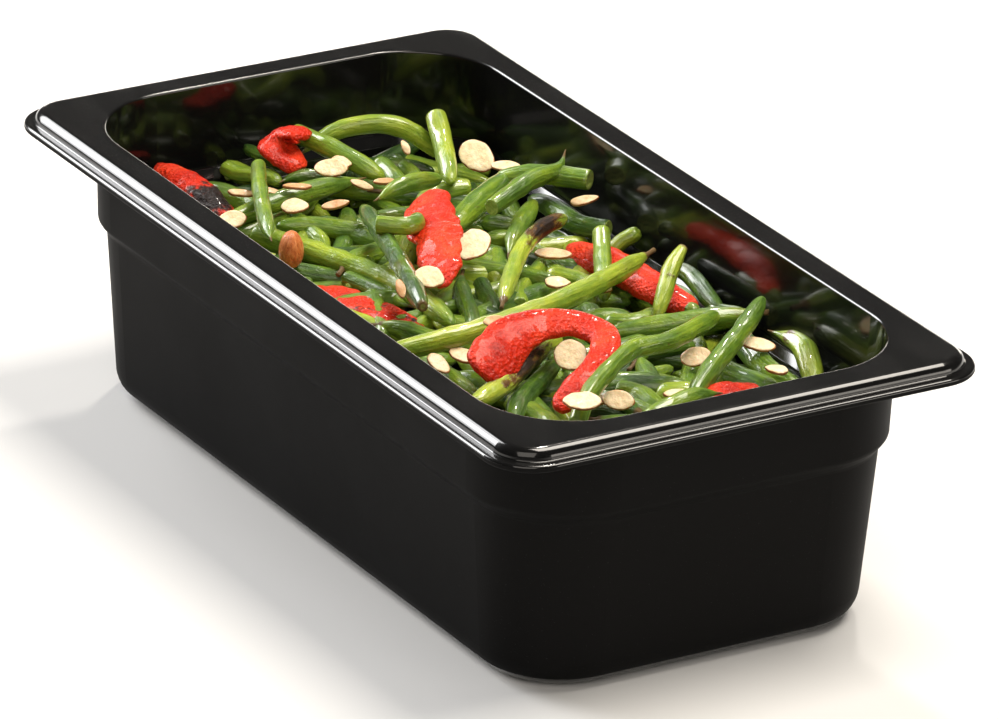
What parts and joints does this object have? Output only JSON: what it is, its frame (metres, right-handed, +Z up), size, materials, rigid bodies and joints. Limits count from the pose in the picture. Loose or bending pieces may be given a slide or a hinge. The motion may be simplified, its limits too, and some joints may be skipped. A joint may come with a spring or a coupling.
{
  "type": "third-size food pan",
  "caption": "Rectangular black plastic food pan with a hanging rim and stacking step, filled with a loose green bean salad that lifts out.",
  "frame": {"origin": "centre of the pan's flat bottom, on the surface that it stands on", "axes": "+X along the pan's length, +Y across it, +Z up"},
  "size_m": [0.325, 0.176, 0.095],
  "materials": {
    "pan_plastic": "glossy rim and inside, fine satin outside",
    "green_bean": "moist, lightly oiled",
    "roasted_pepper": "wet",
    "almond_slice": "satin",
    "almond_skin": "matte"
  },
  "bodies": {
    "pan": {"pan_shell": "pan_plastic"},
    "salad": {"almond_01": "almond_slice", "almond_02": "almond_slice", "almond_03": "almond_slice", "almond_04": "almond_slice", "almond_05": "almond_slice", "almond_06": "almond_slice", "almond_07": "almond_slice", "almond_08": "almond_slice", "almond_09": "almond_skin", "bean_01": "green_bean", "bean_02": "green_bean", "bean_03": "green_bean", "bean_04": "green_bean", "bean_05": "green_bean", "bean_06": "green_bean", "bean_07": "green_bean", "bean_08": "green_bean", "bean_09": "green_bean", "bean_10": "green_bean", "bean_11": "green_bean", "bean_12": "green_bean", "bean_13": "green_bean", "bean_14": "green_bean", "bean_15": "green_bean", "bean_16": "green_bean", "bean_17": "green_bean", "bean_18": "green_bean", "bean_19": "green_bean", "bean_20": "green_bean", "bean_21": "green_bean", "bean_22": "green_bean", "bean_23": "green_bean", "bean_24": "green_bean", "bean_25": "green_bean", "bean_26": "green_bean", "bean_27": "green_bean", "bean_28": "green_bean", "bean_29": "green_bean", "bean_30": "green_bean", "bean_31": "green_bean", "bean_32": "green_bean", "bean_33": "green_bean", "bean_34": "green_bean", "bean_bed": "green_bean", "pepper_01": "roasted_pepper", "pepper_02": "roasted_pepper", "pepper_03": "roasted_pepper", "pepper_04": "roasted_pepper", "pepper_05": "roasted_pepper", "pepper_06": "roasted_pepper", "pepper_07": "roasted_pepper", "pepper_08": "roasted_pepper"}
  },
  "joints": [
    {"name": "salad_lift", "type": "slide", "parent": "pan", "child": "salad", "axis": [0, 0, 1], "range_m": [0, 0.11]}
  ]
}
